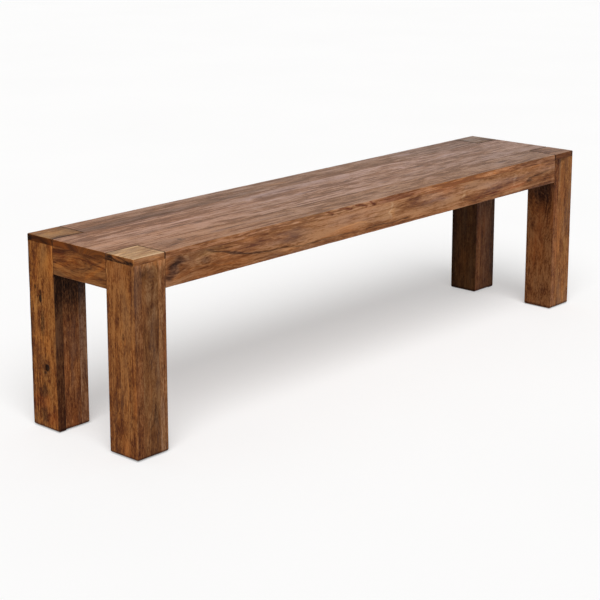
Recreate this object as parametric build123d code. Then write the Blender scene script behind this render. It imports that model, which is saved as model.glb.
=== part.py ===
from build123d import *
import os

# A backless dining bench in solid rosewood, with square legs and flush aprons.
#
# Frame: millimetres, +Z up, origin on the floor under the middle of the bench.
# X runs along the bench, and the front of the bench faces -Y.
#
# The seat is four edge-glued boards. The two middle boards run from end to end. The front
# and back boards stop short at each corner, where a separate cap closes the top of a leg.
# Each leg is a hollow box of four boards: two side boards, as deep as the leg, with two
# narrower face boards between them, and a block glued into each end of the hollow.
# Four aprons stand under the seat, flush with the outer faces of the legs, on dowels.
# Battens, glue blocks and screws out of sight hold the seat flat and the corners square.

# Overall size
bench_length = 1670.0
bench_height = 450.0

# Seat boards and leg caps
seat_board_width = 88.0
seat_board_thickness = 15.0
seat_board_names = ("front", "middle_front", "middle_back", "back")
cap_gap = 0.6
cap_bevel = 0.8

# Legs
leg_side_thickness = 22.0
leg_face_width = 46.0
leg_face_thickness = 22.0
head_block_height = 72.0
foot_block_height = 40.0
foot_chamfer = 5.0

# Aprons
apron_thickness = 22.0
apron_height = 65.0
apron_edge_radius = 1.0

# Rounded outer edges of the legs and of the seat, and the legs' edges that meet an apron
arris_radius = 2.0
joint_edge_radius = 0.5

# Battens under the seat, placed along the bench as shares of its length from its middle
batten_width = 45.0
batten_height = 22.0
batten_edge_chamfer = 2.0
batten_names = ("left", "middle", "right")
batten_place_shares = (-0.28, 0.0, 0.28)

# Glue blocks beside the legs, and under the seat, placed in the same way as the battens
corner_block_size = 26.0
corner_block_reveal = 6.0
seat_block_size = 24.0
seat_block_length = 80.0
seat_block_names = ("left", "right")
seat_block_place_shares = (-0.14, 0.14)
block_chamfer = 3.0

# Dowels
apron_dowel_diameter = 10.0
apron_dowel_length = 60.0
apron_dowel_spacing = 32.0
batten_dowel_diameter = 8.0
batten_dowel_length = 26.0
dowel_chamfer = 1.0
dowel_clearance = 0.1
dowel_end_room = 0.8

# Countersunk screws, with how far each kind goes into the wood behind its block
screw_diameter = 4.0
screw_head_diameter = 8.0
screw_head_height = 2.6
screw_tip_length = 3.5
screw_recess_width = 1.1
screw_recess_length = 4.6
screw_recess_depth = 1.3
screw_clearance = 0.1
frame_screw_bite = 13.0
seat_screw_bite = 9.0

# Nail-on glides under the legs
glide_diameter = 25.0
glide_thickness = 2.5
glide_edge_radius = 0.9
glide_nail_diameter = 2.6
glide_nail_length = 16.0
glide_nail_clearance = 0.1

# Sizes that follow
bench_width = len(seat_board_names) * seat_board_width
leg_width = 2 * leg_side_thickness + leg_face_width
leg_depth = seat_board_width
seat_bottom = bench_height - seat_board_thickness
apron_bottom = seat_bottom - apron_height
half_length = bench_length / 2
half_width = bench_width / 2

ends = {"left": -1, "right": 1}
fronts = {"front": -1, "back": 1}

pieces = {}


def block(x_low, x_high, y_low, y_high, z_low, z_high):
    """A solid box between two corners, with the limits along X and Y in either order."""
    middle = ((x_low + x_high) / 2, (y_low + y_high) / 2, (z_low + z_high) / 2)
    return Pos(*middle) * Box(abs(x_high - x_low), abs(y_high - y_low), z_high - z_low)


def corner_box(end, front, across_x, across_y, z_low, z_high):
    """A box at one corner, with its limits measured inwards from the bench's end and side."""
    x_low, x_high = (end * (half_length - inset) for inset in across_x)
    y_low, y_high = (front * (half_width - inset) for inset in across_y)
    return block(x_low, x_high, y_low, y_high, z_low, z_high)


def bore(names, cutter):
    """Cuts the same hole in each of the named pieces."""
    for name in names:
        pieces[name] = pieces[name] - cutter


def along(origin, direction):
    """The place of something that points away from origin, in a direction."""
    return Plane(origin=origin, z_dir=direction).location


def is_outer(number):
    """Whether a seat board, counted from the front, is the front or the back one."""
    return number in (0, len(seat_board_names) - 1)


def corners():
    """Each corner's name and the signs that point to it."""
    for front_name, front in fronts.items():
        for end_name, end in ends.items():
            yield f"{front_name}_{end_name}", end, front


# Dowels and screws

def dowel(diameter, length):
    rod = Cylinder(diameter / 2, length)
    return chamfer(rod.edges().filter_by(GeomType.CIRCLE), dowel_chamfer)


def dowel_hole(diameter, length):
    return Cylinder(diameter / 2 + dowel_clearance, length + 2 * dowel_end_room)


def screw_body(length, gap):
    """A countersunk screw's outline turned about Z, head at zero and tip at length, grown by a gap."""
    head = screw_head_diameter / 2 + gap
    shank = screw_diameter / 2 + gap
    outline = Polyline(
        (0, 0),
        (head, 0),
        (shank, screw_head_height + gap),
        (shank, length - screw_tip_length + gap),
        (0, length + gap),
        close=True,
    )
    return revolve(Plane.XZ * make_face(outline), Axis.Z)


def screw(length):
    body = screw_body(length, 0)
    slot = Box(
        screw_recess_length, screw_recess_width, screw_recess_depth,
        align=(Align.CENTER, Align.CENTER, Align.MIN),
    )
    return body - slot - Rot(0, 0, 90) * slot


def drive(screws, names, origin, direction, length):
    """Adds a screw to a list and bores the pieces that it goes through."""
    place = along(origin, direction)
    bore(names, place * screw_body(length, screw_clearance))
    screws.append(place * screw(length))


# The seat: boards and caps cut from one slab with rounded outer edges

def make_seat():
    slab = block(-half_length, half_length, -half_width, half_width, seat_bottom, bench_height)
    slab = fillet(slab.edges().filter_by(Axis.Z) + slab.faces().sort_by(Axis.Z)[-1].edges(), arris_radius)
    short_end = half_length - leg_width - cap_gap
    for number, name in enumerate(seat_board_names):
        y_low = number * seat_board_width - half_width
        reach = short_end if is_outer(number) else half_length
        board = slab & block(-reach, reach, y_low, y_low + seat_board_width, seat_bottom, bench_height)
        if is_outer(number):
            tops = board.faces().sort_by(Axis.Z)[-1].edges().filter_by(Axis.Y)
            board = chamfer(tops, cap_bevel)
        pieces[f"seat_board_{name}"] = board
    for name, end, front in corners():
        cap = slab & corner_box(
            end, front, (0, leg_width), (0, leg_depth - cap_gap), seat_bottom, bench_height
        )
        top = cap.faces().sort_by(Axis.Z)[-1]
        seams = ShapeList([
            top.edges().filter_by(Axis.Y).sort_by(Axis.X)[0 if end > 0 else -1],
            top.edges().filter_by(Axis.X).sort_by(Axis.Y)[0 if front > 0 else -1],
        ])
        pieces[f"leg_cap_{name}"] = chamfer(seams, cap_bevel)


# The legs: four boards and two blocks each

def leg_uprights(leg, side):
    """A leg's upright edges on one diagonal: side is the sign of X times Y, seen from its middle."""
    middle = leg.center()
    return leg.edges().filter_by(Axis.Z).filter_by(
        lambda edge: (edge.center() - middle).X * (edge.center() - middle).Y * side > 0
    )


def make_legs():
    for name, end, front in corners():
        whole = corner_box(end, front, (0, leg_width), (0, leg_depth), glide_thickness, seat_bottom)
        whole = chamfer(whole.faces().sort_by(Axis.Z)[0].edges(), foot_chamfer)
        whole = fillet(leg_uprights(whole, -end * front), joint_edge_radius)
        whole = fillet(leg_uprights(whole, end * front), arris_radius)
        hollow_x = (leg_side_thickness, leg_side_thickness + leg_face_width)
        hollow_y = (leg_face_thickness, leg_depth - leg_face_thickness)
        outward, inward = ("left", "right") if end < 0 else ("right", "left")
        forward, behind = ("front", "back") if front < 0 else ("back", "front")
        boards = {
            outward: ((0, hollow_x[0]), (0, leg_depth)),
            inward: ((hollow_x[1], leg_width), (0, leg_depth)),
            forward: (hollow_x, (0, hollow_y[0])),
            behind: (hollow_x, (hollow_y[1], leg_depth)),
        }
        for facing, (across_x, across_y) in boards.items():
            column = corner_box(end, front, across_x, across_y, glide_thickness, seat_bottom)
            pieces[f"leg_{name}_board_{facing}"] = whole & column
        pieces[f"leg_{name}_head_block"] = corner_box(
            end, front, hollow_x, hollow_y, seat_bottom - head_block_height, seat_bottom
        )
        pieces[f"leg_{name}_foot_block"] = corner_box(
            end, front, hollow_x, hollow_y, glide_thickness, glide_thickness + foot_block_height
        )


# The aprons, and the dowels that join them to the legs

def make_aprons():
    for name, front in fronts.items():
        reach = half_length - leg_width
        outer, inner = front * half_width, front * (half_width - apron_thickness)
        rail = block(-reach, reach, outer, inner, apron_bottom, seat_bottom)
        lower = rail.faces().sort_by(Axis.Z)[0].edges().filter_by(Axis.X)
        pieces[f"apron_{name}"] = fillet(lower, apron_edge_radius)
    for name, end in ends.items():
        reach = half_width - leg_depth
        outer, inner = end * half_length, end * (half_length - apron_thickness)
        rail = block(outer, inner, -reach, reach, apron_bottom, seat_bottom)
        lower = rail.faces().sort_by(Axis.Z)[0].edges().filter_by(Axis.Y)
        pieces[f"apron_{name}"] = fillet(lower, apron_edge_radius)


def join_aprons():
    dowels = []
    middle = apron_bottom + apron_height / 2
    levels = (middle - apron_dowel_spacing / 2, middle + apron_dowel_spacing / 2)
    leg_side, leg_face = half_length - leg_width, half_width - leg_depth
    long_line, short_line = half_width - apron_thickness / 2, half_length - apron_thickness / 2
    rod = dowel(apron_dowel_diameter, apron_dowel_length)
    hole = dowel_hole(apron_dowel_diameter, apron_dowel_length)
    for name, end, front in corners():
        front_name, end_name = name.split("_")
        inward = "right" if end < 0 else "left"
        leg = f"leg_{name}_board"
        for level in levels:
            place = along((end * leg_side, front * long_line, level), (1, 0, 0))
            bore([f"apron_{front_name}", f"{leg}_{inward}", f"{leg}_{front_name}"], place * hole)
            dowels.append(place * rod)
            place = along((end * short_line, front * leg_face, level), (0, 1, 0))
            bore([f"apron_{end_name}", f"{leg}_{end_name}"], place * hole)
            dowels.append(place * rod)
    pieces["apron_dowels"] = Compound(children=dowels)


# Battens across the underside of the seat, on a dowel at each end, screwed to each board

def make_battens():
    dowels = []
    screws = []
    reach = half_width - apron_thickness
    rod = dowel(batten_dowel_diameter, batten_dowel_length)
    hole = dowel_hole(batten_dowel_diameter, batten_dowel_length)
    for name, share in zip(batten_names, batten_place_shares):
        x = share * bench_length
        low = seat_bottom - batten_height
        batten = block(x - batten_width / 2, x + batten_width / 2, -reach, reach, low, seat_bottom)
        lower = batten.faces().sort_by(Axis.Z)[0].edges().filter_by(Axis.Y)
        pieces[f"seat_batten_{name}"] = chamfer(lower, batten_edge_chamfer)
        for front_name, front in fronts.items():
            place = along((x, front * reach, low + batten_height / 2), (0, 1, 0))
            bore([f"seat_batten_{name}", f"apron_{front_name}"], place * hole)
            dowels.append(place * rod)
        for number, board in enumerate(seat_board_names):
            y = (number + 1 / 2) * seat_board_width - half_width
            side = -batten_width / 4 if is_outer(number) else batten_width / 4
            drive(
                screws,
                [f"seat_batten_{name}", f"seat_board_{board}"],
                (x + side, y, low),
                (0, 0, 1),
                batten_height + seat_screw_bite,
            )
    pieces["batten_dowels"] = Compound(children=dowels)
    pieces["batten_screws"] = Compound(children=screws)


# Glue blocks in the angles between legs and aprons, each with a screw into both

def make_corner_blocks():
    screws = []
    low = apron_bottom + corner_block_reveal
    apron_screw_level = apron_bottom + apron_height / 2
    leg_screw_level = (low + apron_screw_level) / 2
    size = corner_block_size
    length = size + frame_screw_bite
    for name, end, front in corners():
        front_name, end_name = name.split("_")
        inward = "right" if end < 0 else "left"
        behind = "back" if front < 0 else "front"
        out, ahead = Vector(end, 0, 0), Vector(0, front, 0)
        spots = {
            "long": (leg_width, apron_thickness, front_name, ahead, inward, out),
            "short": (apron_thickness, leg_depth, end_name, out, behind, ahead),
        }
        for kind, (x, y, apron, to_apron, board, to_leg) in spots.items():
            node = f"corner_block_{name}_{kind}"
            across_x, across_y = (x, x + size), (y, y + size)
            pieces[node] = trimmed(corner_box(end, front, across_x, across_y, low, seat_bottom))
            middle = Vector(end * (half_length - x - size / 2), front * (half_width - y - size / 2), 0)
            into_apron = middle + Vector(0, 0, apron_screw_level) - to_apron * (size / 2)
            into_leg = middle + Vector(0, 0, leg_screw_level) - to_leg * (size / 2)
            drive(screws, [node, f"apron_{apron}"], into_apron, to_apron, length)
            drive(screws, [node, f"leg_{name}_board_{board}"], into_leg, to_leg, length)
    pieces["corner_block_screws"] = Compound(children=screws)


def trimmed(shape):
    """A glue block with its lower edges chamfered."""
    return chamfer(shape.faces().sort_by(Axis.Z)[0].edges(), block_chamfer)


# Glue blocks between the long aprons and the seat, each with a screw into both

def make_seat_blocks():
    screws = []
    low = seat_bottom - seat_block_size
    half = seat_block_size / 2
    for front_name, front in fronts.items():
        inner = half_width - apron_thickness
        for name, share in zip(seat_block_names, seat_block_place_shares):
            node = f"seat_block_{front_name}_{name}"
            x = share * bench_length
            x_low, x_high = x - seat_block_length / 2, x + seat_block_length / 2
            outer_y, inner_y = front * inner, front * (inner - seat_block_size)
            pieces[node] = trimmed(block(x_low, x_high, outer_y, inner_y, low, seat_bottom))
            drive(
                screws, [node, f"seat_board_{front_name}"],
                (x - seat_block_length / 4, front * (inner - half), low), (0, 0, 1),
                seat_block_size + seat_screw_bite,
            )
            drive(
                screws, [node, f"apron_{front_name}"],
                (x + seat_block_length / 4, inner_y, low + half), (0, front, 0),
                seat_block_size + frame_screw_bite,
            )
    pieces["seat_block_screws"] = Compound(children=screws)


# Glides nailed into the foot blocks

def make_glides():
    glides = []
    disc = Cylinder(glide_diameter / 2, glide_thickness, align=(Align.CENTER, Align.CENTER, Align.MIN))
    disc = fillet(disc.faces().sort_by(Axis.Z)[0].edges(), glide_edge_radius)
    shank_align = (Align.CENTER, Align.CENTER, Align.MIN)
    nail = Cylinder(glide_nail_diameter / 2, glide_thickness + glide_nail_length, align=shank_align)
    nail_hole = Cylinder(
        glide_nail_diameter / 2 + glide_nail_clearance,
        glide_thickness + glide_nail_length + glide_nail_clearance,
        align=shank_align,
    )
    for name, end, front in corners():
        place = Pos(end * (half_length - leg_width / 2), front * (half_width - leg_depth / 2), 0)
        bore([f"leg_{name}_foot_block"], place * nail_hole)
        glides.append(place * (disc + nail))
    pieces["foot_glides"] = Compound(children=glides)


make_seat()
make_legs()
make_aprons()
join_aprons()
make_battens()
make_corner_blocks()
make_seat_blocks()
make_glides()

os.makedirs("parts", exist_ok=True)
for node, shape in pieces.items():
    export_step(shape, f"parts/{node}.step")
print(len(pieces), "nodes,", sum(len(shape.solids()) for shape in pieces.values()), "solids")
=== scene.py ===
"""Looks for a solid rosewood dining bench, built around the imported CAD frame.

Metres, +Z up, origin on the floor under the middle of the bench. X runs along the bench and
its front faces -Y. Every board keeps its place; each gets its own cut of the same wood.
"""
import itertools
import math

import bmesh
import bpy
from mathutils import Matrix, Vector, noise


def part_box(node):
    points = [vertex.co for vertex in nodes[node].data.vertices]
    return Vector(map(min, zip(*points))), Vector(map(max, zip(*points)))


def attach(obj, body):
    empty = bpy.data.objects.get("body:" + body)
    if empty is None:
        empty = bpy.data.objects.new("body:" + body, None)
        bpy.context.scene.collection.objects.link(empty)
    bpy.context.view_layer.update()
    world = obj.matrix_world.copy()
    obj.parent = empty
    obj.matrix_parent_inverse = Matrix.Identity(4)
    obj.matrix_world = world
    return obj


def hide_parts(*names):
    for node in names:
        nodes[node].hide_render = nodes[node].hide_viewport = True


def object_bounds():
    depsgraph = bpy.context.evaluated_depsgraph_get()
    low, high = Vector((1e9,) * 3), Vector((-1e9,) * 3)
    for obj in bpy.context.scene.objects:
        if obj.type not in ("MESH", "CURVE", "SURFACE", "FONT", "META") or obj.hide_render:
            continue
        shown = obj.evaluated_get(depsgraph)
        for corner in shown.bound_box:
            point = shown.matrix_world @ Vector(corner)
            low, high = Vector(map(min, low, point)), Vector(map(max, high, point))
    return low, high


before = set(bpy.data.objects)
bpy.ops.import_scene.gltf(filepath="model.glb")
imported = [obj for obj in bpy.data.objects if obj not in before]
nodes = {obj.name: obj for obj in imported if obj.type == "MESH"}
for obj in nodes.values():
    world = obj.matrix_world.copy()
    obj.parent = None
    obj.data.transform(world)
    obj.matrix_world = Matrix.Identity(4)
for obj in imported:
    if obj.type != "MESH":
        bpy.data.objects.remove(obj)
cad_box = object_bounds()
(LEFT, _, _), (_, BACK, TOP) = cad_box
SIDES = {(axis, sign) for axis in range(3) for sign in (-1, 1)}
MM = 0.001

# Camera, fitted to the photograph: how far it turns right of +Y and tips down, in degrees, its
# lens and sensor in millimetres, and how far its picture shifts, in widths of the frame
CAMERA_PLACE = (-2.968761, -2.579602, 1.278930)
CAMERA_YAW, CAMERA_PITCH = 47.790, 12.386
CAMERA_LENS, CAMERA_SENSOR = 95.197, 36.0
CAMERA_SHIFT, CAMERA_FAR = -1 / 6, 100.0

# Light: a soft key from the front left, a dim room, and a bright wall far behind the bench,
# over a pale matt floor that glows a little
KEY_FROM, KEY_STRENGTH, KEY_SPREAD = (-0.44, -0.46, 0.77), 2.7, 45.0
SKY_COLOUR, SKY_GLOW, WALL_GLOW = (1.0, 0.985, 0.97), 0.30, 1.00
WALL_SIDE, WALL_EDGE, WALL_TOP = (0.74, 0.67, 0.0), (0.2, 0.8), (0.45, 0.225)
FLOOR_DARK, FLOOR_LIGHT, FLOOR_GLOW = 0.61, 0.64, 0.36
FLOOR_REACH, FLOOR_CLOUDS, FLOOR_ROUGHNESS = 30.0, (1.2, 1.2), 0.9
WHITE = (1.0, 1.0, 1.0)

# Glue lines between two kinds of board: how dark, and half their width in millimetres
SEAMS = {
    ("cap", "seat"): (0.92, 1.8), ("leg", "leg"): (0.08, 0.6), ("seat", "seat"): (0.22, 0.8),
    ("apron", "leg"): (0.55, 1.0), ("apron", "seat"): (0.22, 0.8), ("cap", "leg"): (0.05, 0.7),
    ("apron", "cap"): (0.55, 1.0),
}

# How long a joint is at least, and on which boards glue lines are wider, and how many times
LEAST_SEAM = 5 * MM
WIDE_SEAMS = {
    "leg_cap_front_right": 2.2, "leg_cap_back_right": 2.6,
    "leg_cap_front_left": 1.35, "leg_cap_back_left": 1.35,
}

# Wood colours, linear, before each board's own tint
WOOD_LIGHT = (0.345, 0.158, 0.062)
WOOD_MIDDLE = (0.205, 0.075, 0.023)
WOOD_DARK = (0.085, 0.025, 0.010)
WOOD_PALE = (0.350, 0.180, 0.120)
# The worn colour pales rubbed edges, and also serves as a painted highlight on the arrises
VEIN, WORN_AND_HIGHLIGHT = (0.050, 0.020, 0.011), (0.300, 0.130, 0.048)
GREYED, REDDENED = (0.200, 0.120, 0.080), (0.430, 0.150, 0.045)

# Shades that a mark multiplies the wood by
DARK, PLUM, BROWN = (0.16, 0.17, 0.24), (0.30, 0.31, 0.48), (0.56, 0.58, 0.70)
UMBER, RUST, RED = (0.60, 0.51, 0.42), (0.50, 0.32, 0.28), (0.82, 0.58, 0.50)
WARM, COOL, OLIVE = (1.02, 0.90, 0.76), (0.93, 0.99, 1.08), (0.92, 1.12, 1.00)
ORANGE, STRAW, PINK = (1.42, 1.30, 1.00), (1.35, 1.65, 1.90), (1.22, 1.36, 1.75)
# Of these, the light shade is a painted highlight, only used on the legs' arrises
GREY, PAINTED_HIGHLIGHT, BRIGHT = (0.82, 0.96, 1.35), (2.00, 2.40, 2.80), (2.20, 2.20, 2.20)


# Node trees

class Field:
    """A value over the surface. Arithmetic on it adds Math nodes to its tree."""

    def __init__(self, net, socket):
        self.net, self.socket = net, socket

    def __add__(self, other):
        return self.net.math("ADD", self, other)

    def __sub__(self, other):
        return self.net.math("SUBTRACT", self, other)

    def __rsub__(self, other):
        return self.net.math("SUBTRACT", other, self)

    def __mul__(self, other):
        return self.net.math("MULTIPLY", self, other)

    def __abs__(self):
        return self.net.math("ABSOLUTE", self)

    __radd__, __rmul__ = __add__, __mul__


class Net:
    """A shader node tree that is built by calls."""

    def __init__(self, tree):
        self.tree = tree

    def feed(self, socket, value):
        if isinstance(value, Field):
            self.tree.links.new(value.socket, socket)
        else:
            socket.default_value = value

    def add(self, kind, inputs, output=0, **settings):
        node = self.tree.nodes.new("ShaderNode" + kind)
        for name, value in settings.items():
            setattr(node, name, value)
        for key, value in inputs.items():
            self.feed(node.inputs[key], value)
        return Field(self, node.outputs[output])

    def math(self, operation, *values):
        return self.add("Math", dict(enumerate(values)), operation=operation)

    def vector(self, operation, *values, output=0, scale=None):
        inputs = dict(enumerate(values))
        if scale is not None:
            inputs["Scale"] = scale
        return self.add("VectorMath", inputs, output, operation=operation)

    def join(self, x, y, z):
        return self.add("CombineXYZ", {0: x, 1: y, 2: z})

    def split(self, place):
        node = self.tree.nodes.new("ShaderNodeSeparateXYZ")
        self.feed(node.inputs[0], place)
        return [Field(self, socket) for socket in node.outputs]

    def texture(self, place, rate, detail, roughness, output):
        scaled = self.vector("MULTIPLY", place, (rate[0], rate[1], rate[1]))
        inputs = {"Vector": scaled, "Scale": 1.0, "Detail": detail, "Roughness": roughness}
        return self.add("TexNoise", inputs, output)

    def noise(self, place, rate, detail=2.0, roughness=0.5):
        """Noise about zero, of so many features a metre along the first axis and the others."""
        return self.texture(place, rate, detail, roughness, "Fac") - 0.5

    def noises(self, place, rate, detail=2.0):
        """Three such noises that differ."""
        return [part - 0.5 for part in self.split(self.texture(place, rate, detail, 0.5, "Color"))]

    def line_noise(self, along, detail, roughness):
        inputs = {"W": along, "Scale": 1.0, "Detail": detail, "Roughness": roughness}
        return self.add("TexNoise", inputs, "Fac", noise_dimensions="1D") - 0.5

    def step(self, value, low, high):
        """Zero at low, one at high and smooth between; low may be the larger."""
        inputs = {"Value": value, "From Min": low, "From Max": high}
        return self.add("MapRange", inputs, interpolation_type="SMOOTHSTEP")

    def mix(self, first, second, share, blend="MIX"):
        inputs = {0: share, 6: first, 7: second}
        return self.add("Mix", inputs, 2, data_type="RGBA", blend_type=blend)

    def curve(self, value, points):
        """A smooth curve through points whose coordinates all lie between zero and one."""
        node = self.tree.nodes.new("ShaderNodeFloatCurve")
        line = node.mapping.curves[0]
        for _ in points[2:]:
            line.points.new(0.5, 0.5)
        for point, place in zip(line.points, points):
            point.location = place
        node.mapping.update()
        self.feed(node.inputs["Value"], value)
        return Field(self, node.outputs[0])


def rgb(colour, share=1.0):
    return tuple(c * share for c in colour) + (1.0,)


def new_material(name, **constants):
    material = bpy.data.materials.new(name)
    material.use_nodes = True
    net = Net(material.node_tree)
    inputs = net.tree.nodes["Principled BSDF"].inputs
    for key, value in constants.items():
        inputs[key.replace("_", " ")].default_value = value
    return material, net, inputs


def add_bump(net, inputs, height, strength, depth):
    bump = net.add("Bump", {"Strength": strength, "Distance": depth, "Height": height})
    net.feed(inputs["Normal"], bump)


def new_object(name, data):
    thing = bpy.data.objects.new(name, data)
    bpy.context.scene.collection.objects.link(thing)
    return thing


# Rosewood: one solid pattern in board space, which each board samples at its own place.
# Board space has u along the grain, v across the board and w through it, from its middle.

CUT_INPUTS = ("Seed", "Pith V", "Pith W", "Slope", "Contrast", "Streaks")
KIND_INPUTS = (
    "Ring Rate", "Ring Gain", "Grain Rate", "Grain Haste", "Grain Gain", "Pale", "Shortness",
)
GROUP_INPUTS = {"Place": "Vector", "Facing": "Vector"}
GROUP_INPUTS |= dict.fromkeys(("Edge", "Swell") + CUT_INPUTS + KIND_INPUTS, "Float")
GROUP_OUTPUTS = {"Color": "Color", "Roughness": "Float", "Height": "Float", "Flecks": "Float"}

# How many features a metre each noise has along the grain, and across it
WANDER, HUE, RIPPLE, DRIFT = (1.6, 7.0), (5.0, 26.0), (9.0, 30.0), (7.0, 26.0)
MOTTLE, PATCHES, SWAY, RUB = (14.0, 34.0), (2.6, 17.0), (20.0, 70.0), (70.0, 70.0)
FIBRE, FLECKS, HAIR = (8.0, 260.0), (46.0, 420.0), (75.0, 1100.0)
PORES, DOTS = (150.0, 1900.0), (400.0, 1300.0)

# How far, in metres, the pith wanders, the rings ripple and the grain drifts
WANDER_REACH, RIPPLE_REACH, DRIFT_REACH = 0.040, 0.004, 0.010

# Where in its noise, or in the tone of them all, each of these begins and is full
LIGHT_STEP, DARK_STEP, PORE_STEP = (-0.06, 0.48), (0.02, -0.50), (0.10, 0.22)
RED_STEP, GREY_STEP, END_STEP = (0.0, 0.22), (0.0, -0.20), (-0.3, 0.4)
VEIN_STEP, PATCH_STEP = (0.07, 0.22), (-0.10, 0.08)

# How steeply a face has to look along the grain to be end grain, how near to an edge the wood
# is worn and painted with a highlight, and how unevenly
END_FACING, EDGE_WORN, EDGE_RAGGED = (0.55, 0.85), (2.4 * MM, 0.6 * MM), 4.0 * MM
WOOD_ROUGHNESS = 0.48


def rosewood_group():
    tree = bpy.data.node_groups.new("rosewood", "ShaderNodeTree")
    for way, sockets in (("INPUT", GROUP_INPUTS), ("OUTPUT", GROUP_OUTPUTS)):
        for name, kind in sockets.items():
            tree.interface.new_socket(name, in_out=way, socket_type="NodeSocket" + kind)
    net = Net(tree)
    entry = tree.nodes.new("NodeGroupInput")
    given = {name: Field(net, entry.outputs[name]) for name in GROUP_INPUTS}
    seed, pale, short = given["Seed"], given["Pale"], given["Shortness"]
    place = net.vector("ADD", given["Place"], net.join(seed * 0.713, seed * 0.371, seed * 0.592))

    # The growth rings are circles about a wandering pith, so a flat face shows long arches
    u, v, w = net.split(given["Place"])
    wander_v, wander_w, _ = net.noises(place, WANDER)
    across = v + wander_v * WANDER_REACH + net.noise(place, RIPPLE, 1.0) * RIPPLE_REACH
    across = across - given["Pith V"]
    depth = w + wander_w * WANDER_REACH - given["Pith W"] + u * given["Slope"]
    radius = net.math("SQRT", across * across + depth * depth) + given["Swell"]
    rings = net.line_noise(radius * given["Ring Rate"] + seed * 3.1, 4.0, 0.62)
    veins = net.line_noise(radius * given["Ring Rate"] * 0.5 + seed * 5.7, 2.0, 0.5)

    # Fibres, flecks, hairs and pores are drawn out along the grain; mottle and patches less so
    _, drift_v, drift_w = net.noises(place, DRIFT)
    drift = net.join(0.0, drift_v * DRIFT_REACH, drift_w * DRIFT_REACH)
    grain = net.vector("SCALE", net.vector("ADD", place, drift), scale=given["Grain Rate"])
    fibre = net.noise(net.vector("MULTIPLY", grain, net.join(short, 1.0, 1.0)), FIBRE, 4.0, 0.62)
    grain = net.vector("MULTIPLY", grain, net.join(given["Grain Haste"], 1.0, 1.0))
    flecks = net.noise(grain, FLECKS, 3.0, 0.68)
    hair = net.noise(grain, HAIR, 2.0, 0.6)
    pores = net.step(net.noise(place, PORES, 1.0), *PORE_STEP)
    mottle = net.noise(net.vector("SCALE", place, scale=short), MOTTLE, 3.0, 0.55)
    patches = net.noise(place, PATCHES)

    # One tone from all of them, and the colours that it picks
    tone = rings * given["Ring Gain"] + (flecks * 1.7 + fibre * 1.6) * given["Grain Gain"]
    tone = (tone + hair * 0.9 + mottle * 1.1 + patches) * given["Contrast"]
    light, dark = net.step(tone, *LIGHT_STEP), net.step(tone, *DARK_STEP)
    colour = net.mix(rgb(WOOD_MIDDLE), rgb(WOOD_LIGHT), light)
    colour = net.mix(colour, rgb(WOOD_PALE), (light * 0.75 + 0.25) * pale)
    colour = net.mix(colour, rgb(WOOD_DARK), dark * (pale * -0.35 + 1.0))
    hue, plainer = net.noise(place, HUE, 3.0, 0.6), pale * -0.8 + 1.0
    colour = net.mix(colour, rgb(REDDENED), net.step(hue, *RED_STEP) * plainer * 0.45)
    colour = net.mix(colour, rgb(GREYED), net.step(hue, *GREY_STEP) * plainer * 0.35)

    # Heartwood veins: irregular dark lines that come and go
    strong = net.step(veins, *VEIN_STEP) * net.step(patches, *PATCH_STEP) * given["Streaks"]
    colour = net.mix(colour, rgb(VEIN), strong * 0.8)
    colour = net.mix(colour, rgb(VEIN, 0.6), pores * 0.55)

    # End grain takes stain deeply, and shows the rings as arcs and the pores as dots
    end = net.step(abs(net.split(given["Facing"])[0]), *END_FACING)
    end_tone = net.step(rings * 1.1 + net.noise(place, DOTS) * 0.9, *END_STEP)
    end_colour = net.mix(rgb(WOOD_DARK, 0.30), rgb(WOOD_DARK, 1.05), end_tone)
    colour = net.mix(colour, end_colour, end)

    # Free edges are rubbed a little paler, in patches: edge wear, and also a painted highlight
    # along the arrises
    rub = net.noise(place, RUB, 3.0, 0.6) + 0.05
    worn_and_highlight = net.step(given["Edge"] - rub * EDGE_RAGGED, *EDGE_WORN)
    colour = net.mix(colour, rgb(WORN_AND_HIGHLIGHT), worn_and_highlight * (end * -0.8 + 1.0) * 0.08)

    height = rings * 0.30 + flecks * 0.55 + hair * 0.35 - pores * 0.9
    roughness = flecks * 0.20 + mottle * 0.14 + pores * 0.15 + end * 0.18 - worn_and_highlight * 0.05
    leave = tree.nodes.new("NodeGroupOutput")
    for name, value in zip(GROUP_OUTPUTS, (colour, roughness + WOOD_ROUGHNESS, height, flecks)):
        net.feed(leave.inputs[name], value)
    return tree


ROSEWOOD = rosewood_group()

# Which of X, Y and Z a board's u, v and w are, by how its name starts, and for the legs' boards
GRAIN_AXES = {
    "apron_front": (0, 2, 1), "apron_back": (0, 2, 1), "apron_left": (1, 2, 0),
    "apron_right": (1, 2, 0), "seat_batten": (1, 0, 2), "seat_board": (0, 1, 2),
    "seat_block": (0, 1, 2), "leg_cap": (0, 1, 2),
}
UPRIGHT_SIDE, UPRIGHT_FACE = (2, 1, 0), (2, 0, 1)


def grain_axes(name):
    for start, axes in GRAIN_AXES.items():
        if name.startswith(start):
            return axes
    return UPRIGHT_SIDE if name.endswith(("board_left", "board_right")) else UPRIGHT_FACE


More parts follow.
